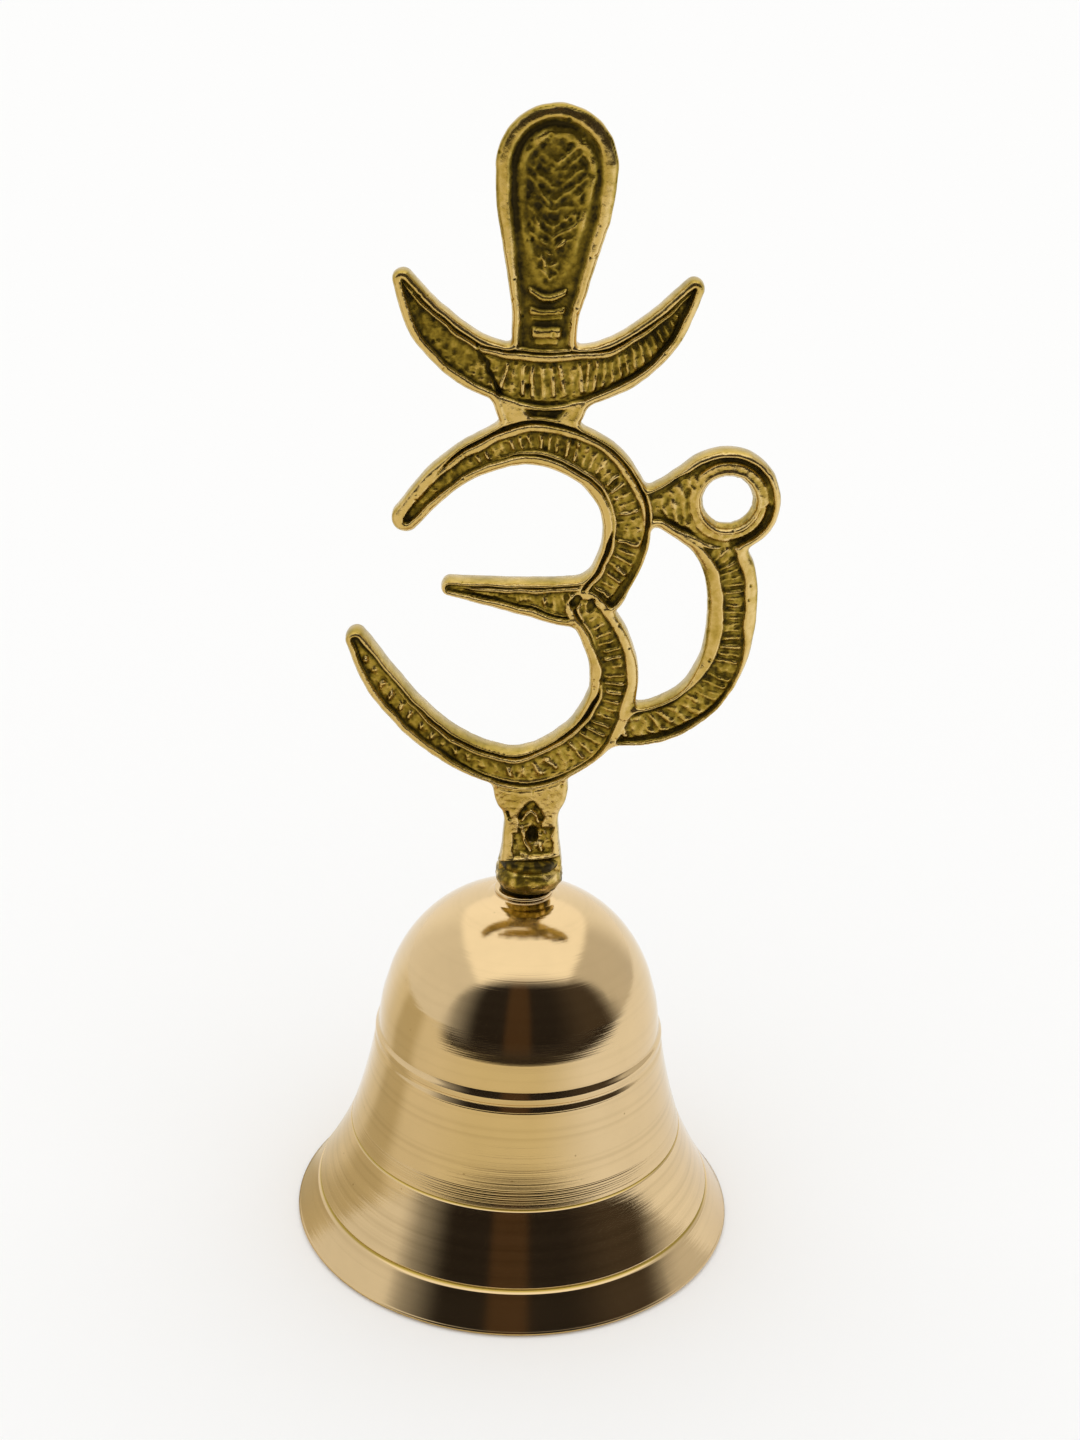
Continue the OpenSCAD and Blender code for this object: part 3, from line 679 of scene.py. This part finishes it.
def cast_wobble(around, r, z):
    """Unevenness of a rough casting, less near the axis."""
    return 0.10 * fractal(3 * np.cos(around), 3 * np.sin(around) + z, 0.9, 401, 3) * min(1, r / 4)


collar_prof = [[0.0, 49.3], [3.0, 49.32], [3.45, 49.4], [3.9, 49.7]]
for i in range(14):                 # the round bead
    turn = math.radians(-55 + i * 10)
    collar_prof.append([3.41 + 1.05 * math.cos(turn), 51.1 + 1.35 * math.sin(turn)])
collar_prof += [[3.9, 52.6], [4.05, 53.0], [4.0, 53.5], [3.7, 53.8], [0.0, 53.9]]
collar = lathe("handle_collar", collar_prof, 120, "om_handle", COLLAR_X, cast_wobble)
v = vertices_mm(collar)
grain = fractal(3.5 * np.arctan2(v[:, 1], v[:, 0] - COLLAR_X), v[:, 2], 0.7, 405, 3)
ends = 0.3 * smooth((v[:, 2] - 52.3) / 0.4) + 0.3 * smooth((50.0 - v[:, 2]) / 0.6)
point_attribute(collar, "patina", np.clip(0.42 + 0.45 * grain + ends, 0, 1))
point_attribute(collar, "rim", np.full(len(v), 0.5))

spigot_prof = [[0.0, 49.0], [3.0, 49.0], [3.0, 49.2], [2.9, 49.4], [2.95, 49.7], [3.1, 50.0], [0.0, 50.1]]
spigot = lathe("handle_spigot", spigot_prof, 96, "om_handle")
point_attribute(spigot, "patina", np.full(len(spigot.data.vertices), 0.95))
point_attribute(spigot, "rim", np.full(len(spigot.data.vertices), 0.2))


# ---------------------------------------------------------------- node helpers

def new_material(name):
    m = bpy.data.materials.new(name)
    m.use_nodes = True
    nt = m.node_tree
    nt.nodes.clear()
    out = nt.nodes.new("ShaderNodeOutputMaterial")
    bsdf = nt.nodes.new("ShaderNodeBsdfPrincipled")
    nt.links.new(bsdf.outputs[0], out.inputs[0])
    return m, nt, bsdf


def node(nt, kind, ins=None, **props):
    """A node with its inputs linked or set."""
    n = nt.nodes.new(kind)
    for k, v in props.items():
        setattr(n, k, v)
    for k, v in (ins or {}).items():
        if isinstance(v, bpy.types.NodeSocket):
            nt.links.new(v, n.inputs[k])
        else:
            n.inputs[k].default_value = v
    return n


def calc(nt, op, a, b=0.0, c=0.0):
    return node(nt, "ShaderNodeMath", {0: a, 1: b, 2: c}, operation=op).outputs[0]


def centred(nt, value, gain):
    """A noise value from 0 to 1, scaled by gain and moved to lie evenly about 0."""
    return calc(nt, "MULTIPLY_ADD", value, gain, -gain / 2)


def step(nt, x, lo, hi):
    """Smooth step from 0 at lo to 1 at hi."""
    ins = {0: x, 1: lo, 2: hi}
    return node(nt, "ShaderNodeMapRange", ins, interpolation_type="SMOOTHSTEP", clamp=True).outputs[0]


def within(nt, x, start, full, fading, end):
    """1 from full to fading, 0 outside start and end."""
    return calc(nt, "MULTIPLY", step(nt, x, start, full), calc(nt, "SUBTRACT", 1.0, step(nt, x, fading, end)))


def blend(nt, factor, a, b, how="MIX"):
    """Colour a where the factor is 0 and b where it is 1."""
    ins = {"Factor": factor, 6: a, 7: b}
    return node(nt, "ShaderNodeMix", ins, data_type="RGBA", blend_type=how).outputs[2]


def noise(nt, where, scale, detail, rough):
    ins = {"Vector": where, "Scale": scale, "Detail": detail, "Roughness": rough}
    return node(nt, "ShaderNodeTexNoise", ins).outputs[0]


def ramp(nt, fac, stops):
    n = nt.nodes.new("ShaderNodeValToRGB")
    nt.links.new(fac, n.inputs[0])
    e = n.color_ramp.elements
    while len(e) < len(stops):
        e.new(0.5)
    for el, (pos, col) in zip(e, stops):
        el.position = pos
        el.color = (*col, 1)
    return n.outputs[0]


def scalar(nt, fac, stops):
    return ramp(nt, fac, [(p, (v, v, v)) for p, v in stops])


def coords(nt, which="Object"):
    return node(nt, "ShaderNodeTexCoord").outputs[which]


def separate(nt, vector):
    return node(nt, "ShaderNodeSeparateXYZ", {0: vector}).outputs


# ---------------------------------------------------------------- metals

def turned_brass(name, colour, rough, aniso, streak):
    """Lathe-polished brass: fine rings round the axis, faint stains, tiny specks, dark grooves."""
    m, nt, bsdf = new_material(name)
    geo = coords(nt)
    x, y, z = separate(nt, geo)
    flat = node(nt, "ShaderNodeCombineXYZ", {0: x, 1: y}).outputs[0]
    radius = node(nt, "ShaderNodeVectorMath", {0: flat}, operation="LENGTH").outputs["Value"]
    ring_pos = node(nt, "ShaderNodeCombineXYZ", {0: radius, 2: z}).outputs[0]
    fine = noise(nt, ring_pos, 5200.0, 3.0, 0.6)
    mid = noise(nt, ring_pos, 900.0, 2.0, 0.5)
    cloud = noise(nt, geo, 70.0, 4.0, 0.6)
    speck = node(nt, "ShaderNodeTexVoronoi", {"Vector": geo, "Scale": 260.0}, feature="F1")
    specks = scalar(nt, speck.outputs["Distance"], [(0.0, 1.0), (0.045, 0.0)])
    base = ramp(nt, cloud, [(0.3, tuple(0.90 * c for c in colour)), (0.7, colour)])
    base = blend(nt, specks, base, (0.25, 0.16, 0.05, 1))
    rings = ramp(nt, mid, [(0.32, (0.84, 0.83, 0.80)), (0.52, (1.0, 1.0, 1.0))])
    dome_to_wall = {0: z, 1: 0.032, 2: 0.026, 3: 0.2, 4: 0.8}
    on_wall = node(nt, "ShaderNodeMapRange", dome_to_wall, clamp=True).outputs[0]
    base = blend(nt, on_wall, base, rings, "MULTIPLY")
    line = node(nt, "ShaderNodeAttribute", attribute_name="groove").outputs["Fac"]
    base = blend(nt, line, base, (0.42, 0.30, 0.055, 1))
    nt.links.new(base, bsdf.inputs["Base Color"])
    nt.links.new(calc(nt, "MULTIPLY_ADD", mid, streak, rough - streak / 2), bsdf.inputs["Roughness"])
    height = calc(nt, "MULTIPLY_ADD", mid, 1.6, fine)
    bump = node(nt, "ShaderNodeBump", {"Height": height, "Strength": 0.14, "Distance": 0.00005})
    nt.links.new(bump.outputs[0], bsdf.inputs["Normal"])
    bsdf.inputs["Metallic"].default_value = 1.0
    bsdf.inputs["Anisotropic"].default_value = aniso
    tangent = node(nt, "ShaderNodeTangent", direction_type="RADIAL", axis="Z")
    nt.links.new(tangent.outputs[0], bsdf.inputs["Tangent"])
    return m


def cast_brass():
    """Sand-cast brass: bright on the crests, olive brown in the hollows."""
    m, nt, bsdf = new_material("cast_brass")
    geo = coords(nt)
    patina_at = node(nt, "ShaderNodeAttribute", attribute_name="patina").outputs["Fac"]
    rim_at = node(nt, "ShaderNodeAttribute", attribute_name="rim").outputs["Fac"]
    grain = noise(nt, geo, 1300.0, 4.0, 0.65)
    cloud = noise(nt, geo, 260.0, 3.0, 0.6)
    worn = noise(nt, geo, 110.0, 2.0, 0.5)
    dark = calc(nt, "ADD", patina_at, centred(nt, grain, 0.55))
    dark = calc(nt, "ADD", dark, centred(nt, cloud, 0.50))
    dark = calc(nt, "ADD", dark, centred(nt, worn, 0.60))
    base = ramp(nt, dark, [(0.02, (0.78, 0.58, 0.24)), (0.22, (0.60, 0.43, 0.115)),
                           (0.48, (0.39, 0.282, 0.045)), (0.74, (0.17, 0.118, 0.012)),
                           (0.97, (0.035, 0.024, 0.003))])
    nt.links.new(base, bsdf.inputs["Base Color"])
    nt.links.new(scalar(nt, dark, [(0.1, 0.20), (0.5, 0.32), (0.9, 0.5)]), bsdf.inputs["Roughness"])
    nt.links.new(scalar(nt, dark, [(0.55, 1.0), (0.95, 0.8)]), bsdf.inputs["Metallic"])
    strength = scalar(nt, rim_at, [(0.0, 0.9), (1.0, 0.4)])
    bump = node(nt, "ShaderNodeBump", {"Height": grain, "Strength": strength, "Distance": 0.00012})
    # shading only: the normals are leaned 13 degrees down, so that the upright
    # faces mirror the near floor; the mesh itself stays upright
    lean = node(nt, "ShaderNodeVectorMath", {0: bump.outputs[0], 1: (0.0, 0.0, -0.23)}, operation="ADD")
    lean = node(nt, "ShaderNodeVectorMath", {0: lean.outputs[0]}, operation="NORMALIZE")
    nt.links.new(lean.outputs[0], bsdf.inputs["Normal"])
    return m


def plain_metal(name, colour, rough):
    """Drawn or machined metal with faint clouds in colour and gloss."""
    m, nt, bsdf = new_material(name)
    cloud = noise(nt, coords(nt), 500.0, 4.0, 0.6)
    base = ramp(nt, cloud, [(0.3, tuple(0.72 * c for c in colour)), (0.7, colour)])
    nt.links.new(base, bsdf.inputs["Base Color"])
    nt.links.new(scalar(nt, cloud, [(0.3, rough + 0.12), (0.7, rough)]), bsdf.inputs["Roughness"])
    bump = node(nt, "ShaderNodeBump", {"Height": cloud, "Strength": 0.25, "Distance": 0.0001})
    nt.links.new(bump.outputs[0], bsdf.inputs["Normal"])
    bsdf.inputs["Metallic"].default_value = 1.0
    return m


POLISHED = turned_brass("polished_brass", (0.76, 0.57, 0.315), 0.10, 0.5, 0.05)
CAST = cast_brass()
WIRE = plain_metal("drawn_brass", (0.62, 0.45, 0.19), 0.28)
STEEL = plain_metal("nut_steel", (0.62, 0.61, 0.58), 0.33)
for ob in (handle, collar, spigot):
    ob.data.materials.append(CAST)
shell.data.materials.append(POLISHED)
KEPT_NODES = {"hanger_bolt": WIRE, "crown_washer": WIRE, "lock_nut": STEEL, "link": WIRE,
              "clapper_shank": WIRE, "clapper_bob": POLISHED}
for name, material in KEPT_NODES.items():
    for material_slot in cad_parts[name].material_slots:
        material_slot.link = "OBJECT"
        material_slot.material = material


# ---------------------------------------------------------------- floor
# Angles run round the bell in degrees, 0 in front of it and positive to the right. What only mirrors
# see is painted reflection: a tinted floor with a dark sheet on its far part, and a dark room in front
# of the bell below the lamp.

FLOOR_SIZE = 40.0
PALE = (0.955, 0.955, 0.955, 1)
ROOM_LEFT, ROOM_RIGHT = 64.0, 92.0  # how far round the dark room reaches
ROOM_FADE = (0.84, 1.1)             # where it fades out, as shares of its reach


def angle_round(nt, x, y):
    return calc(nt, "MULTIPLY", calc(nt, "ARCTAN2", x, calc(nt, "MULTIPLY", y, -1.0)), 180 / math.pi)


def stage_plane(name, height, material):
    half = FLOOR_SIZE / 2
    me = bpy.data.meshes.new(name)
    corners = [(-half, -half, 0), (half, -half, 0), (half, half, 0), (-half, half, 0)]
    me.from_pydata(corners, [], [(0, 1, 2, 3)])
    me.materials.append(material)
    ob = bpy.data.objects.new(name, me)
    bpy.context.scene.collection.objects.link(ob)
    ob.matrix_world = Matrix.Translation((0, 0, height))
    return ob


def floor_material():
    """Pale paper; mirrors see a painted reflection of it, warm on the left to neutral on the right and
    behind, with a strip of painted shade at the left.
    """
    m, nt, bsdf = new_material("floor")
    x, y, _ = separate(nt, coords(nt))
    angle = angle_round(nt, x, y)
    # painted reflection: the floor as mirrors see it, warm on the left, neutral on the right and pale behind
    tint = blend(nt, step(nt, angle, -70.0, -20.0), (0.80, 0.74, 0.60, 1), (0.76, 0.69, 0.48, 1))
    tint = blend(nt, step(nt, angle, 10.0, 60.0), tint, (0.96, 0.95, 0.95, 1))
    tint = blend(nt, step(nt, calc(nt, "ABSOLUTE", angle), 110.0, 140.0), tint, PALE)
    # painted shade: a darker olive strip at the left side, seen only in mirrors
    shade_strip = within(nt, angle, -112.0, -102.0, -88.0, -76.0)
    tint = blend(nt, calc(nt, "MULTIPLY", shade_strip, 0.75), tint, (0.52, 0.45, 0.28, 1))
    mirrored = node(nt, "ShaderNodeLightPath").outputs["Is Glossy Ray"]
    nt.links.new(blend(nt, mirrored, PALE, tint), bsdf.inputs["Base Color"])
    bsdf.inputs["Roughness"].default_value = 0.9
    bsdf.inputs["Specular IOR Level"].default_value = 0.0
    return m


def mirrored_dark_room_material():
    """Near black beyond 0.3 m in front of the bell, clear elsewhere: a painted reflection, seen only in
    mirrors, whose faint glow stands in for the dark room there.
    """
    m, nt, bsdf = new_material("mirrored_dark_room")
    bsdf.inputs["Base Color"].default_value = (0.0, 0.0, 0.0, 1)
    bsdf.inputs["Specular IOR Level"].default_value = 0.0
    bsdf.inputs["Emission Color"].default_value = (0.022, 0.015, 0.010, 1)
    bsdf.inputs["Emission Strength"].default_value = 1.0
    x, y, _ = separate(nt, coords(nt))
    angle = angle_round(nt, x, y)
    away = calc(nt, "SQRT", calc(nt, "ADD", calc(nt, "MULTIPLY", x, x), calc(nt, "MULTIPLY", y, y)))
    aside = calc(nt, "DIVIDE", calc(nt, "ABSOLUTE", calc(nt, "SUBTRACT", angle, 12.0)), 75.0)
    past = calc(nt, "SUBTRACT", away, calc(nt, "MULTIPLY", calc(nt, "POWER", aside, 2.0), 0.16))
    reach = calc(nt, "MAXIMUM", calc(nt, "DIVIDE", angle, -ROOM_LEFT), calc(nt, "DIVIDE", angle, ROOM_RIGHT))
    in_front = calc(nt, "SUBTRACT", 1.0, step(nt, reach, *ROOM_FADE))
    nt.links.new(calc(nt, "MULTIPLY", step(nt, past, 0.25, 0.33), in_front), bsdf.inputs["Alpha"])
    return m


stage_plane("floor", 0.0, floor_material())
mirrored_dark_room = stage_plane("mirrored_dark_room", 0.0004, mirrored_dark_room_material())
for ray in ("camera", "diffuse", "shadow", "transmission", "volume_scatter"):
    setattr(mirrored_dark_room, "visible_" + ray, False)


# ---------------------------------------------------------------- light

def studio():
    """White all round for the floor and the view; mirrors see walls, a lamp and the dark room."""
    world = bpy.data.worlds.new("studio")
    bpy.context.scene.world = world
    world.use_nodes = True
    nt = world.node_tree
    nt.nodes.clear()
    dx, dy, dz = separate(nt, coords(nt, "Generated"))
    az = angle_round(nt, dx, dy)
    el = calc(nt, "MULTIPLY", calc(nt, "ARCSINE", dz), 180 / math.pi)
    leftward = calc(nt, "MULTIPLY", az, -1.0)

    # the dark room: its upper edge is an arch, its right edge moves in with height
    left = calc(nt, "DIVIDE", leftward, ROOM_LEFT)
    right = calc(nt, "DIVIDE", az, calc(nt, "SUBTRACT", ROOM_RIGHT, calc(nt, "MULTIPLY", el, 0.35)))
    aside = calc(nt, "MINIMUM", calc(nt, "MAXIMUM", left, calc(nt, "DIVIDE", az, 86.0)), 1.0)
    arch = calc(nt, "POWER", calc(nt, "MAXIMUM", aside, 0.0), 2.0)
    arch = calc(nt, "SQRT", calc(nt, "SUBTRACT", 1.0, arch))
    above = step(nt, calc(nt, "SUBTRACT", el, calc(nt, "MULTIPLY_ADD", arch, 42.0, 11.0)), -5.0, 6.0)
    below_edge = calc(nt, "SUBTRACT", 1.0, above)
    in_front = calc(nt, "SUBTRACT", 1.0, step(nt, calc(nt, "MAXIMUM", left, right), *ROOM_FADE))
    dark = calc(nt, "MULTIPLY", below_edge, calc(nt, "MULTIPLY", step(nt, el, -1.0, 0.5), in_front))
    lighter_left = calc(nt, "MULTIPLY", step(nt, leftward, 34.0, 62.0), 0.45)
    dark = calc(nt, "MULTIPLY", dark, calc(nt, "SUBTRACT", 1.0, lighter_left))
    brown = within(nt, az, -13.0, -9.0, 8.0, 12.0)
    room = blend(nt, brown, (0.016, 0.012, 0.010, 1), (0.065, 0.036, 0.016, 1))
    room = blend(nt, step(nt, az, 28.0, 62.0), room, (0.060, 0.045, 0.032, 1))

    # the walls, brighter behind, and the lamp above
    walls = blend(nt, step(nt, az, -70.0, 80.0), (0.84, 0.82, 0.79, 1), (0.66, 0.635, 0.60, 1))
    walls = blend(nt, step(nt, calc(nt, "ABSOLUTE", az), 122.0, 150.0), walls, (1.0, 0.98, 0.95, 1))
    across = calc(nt, "SUBTRACT", calc(nt, "DIVIDE", dx, calc(nt, "MAXIMUM", dz, 0.02)), 0.04)
    beside = step(nt, calc(nt, "ABSOLUTE", across), 0.8, 1.0)
    lamp = calc(nt, "MULTIPLY", step(nt, el, 28.0, 34.0), calc(nt, "SUBTRACT", 1.0, beside))
    seen = blend(nt, dark, blend(nt, lamp, walls, (1.20, 1.17, 1.13, 1)), room)

    mirrored = node(nt, "ShaderNodeLightPath").outputs["Is Glossy Ray"]
    colour = blend(nt, mirrored, (1.0, 0.998, 0.99, 1), seen)
    background = node(nt, "ShaderNodeBackground", {0: colour, 1: 1.03})
    nt.links.new(background.outputs[0], node(nt, "ShaderNodeOutputWorld").inputs[0])


studio()


# ---------------------------------------------------------------- camera

R0 = MOUTH_R * MM
AIM_Z, DIST = 0.9, 9.146            # height of the aim on the axis and distance from it, in mouth radii
ELEVATION, TILT, PAN, ROLL = (math.radians(a) for a in (31.04, 8.85, 0.29, 2.11))


def turn_towards(a, b, angle):
    """Both axes turned in their plane, a towards b."""
    c, s = math.cos(angle), math.sin(angle)
    return a * c + b * s, b * c - a * s


def add_camera():
    """Looks at the aim from the front and above, then tilts, pans and rolls a little."""
    back = Vector((0, -math.cos(ELEVATION), math.sin(ELEVATION)))
    right, forward = Vector((1, 0, 0)), -back
    up = right.cross(forward)
    forward, up = turn_towards(forward, up, TILT)
    forward, right = turn_towards(forward, right, PAN)
    right, up = turn_towards(right, up, ROLL)
    data = bpy.data.cameras.new("camera")
    data.lens = 50.0
    data.sensor_width = 36.0
    data.clip_start, data.clip_end = 0.01, 100
    camera = bpy.data.objects.new("camera", data)
    bpy.context.scene.collection.objects.link(camera)
    place = Matrix((right, up, -forward)).transposed().to_4x4()
    place.translation = (Vector((0, 0, AIM_Z)) + back * DIST) * R0
    camera.matrix_world = place
    bpy.context.scene.camera = camera


add_camera()
bpy.context.scene.view_settings.view_transform = "Standard"
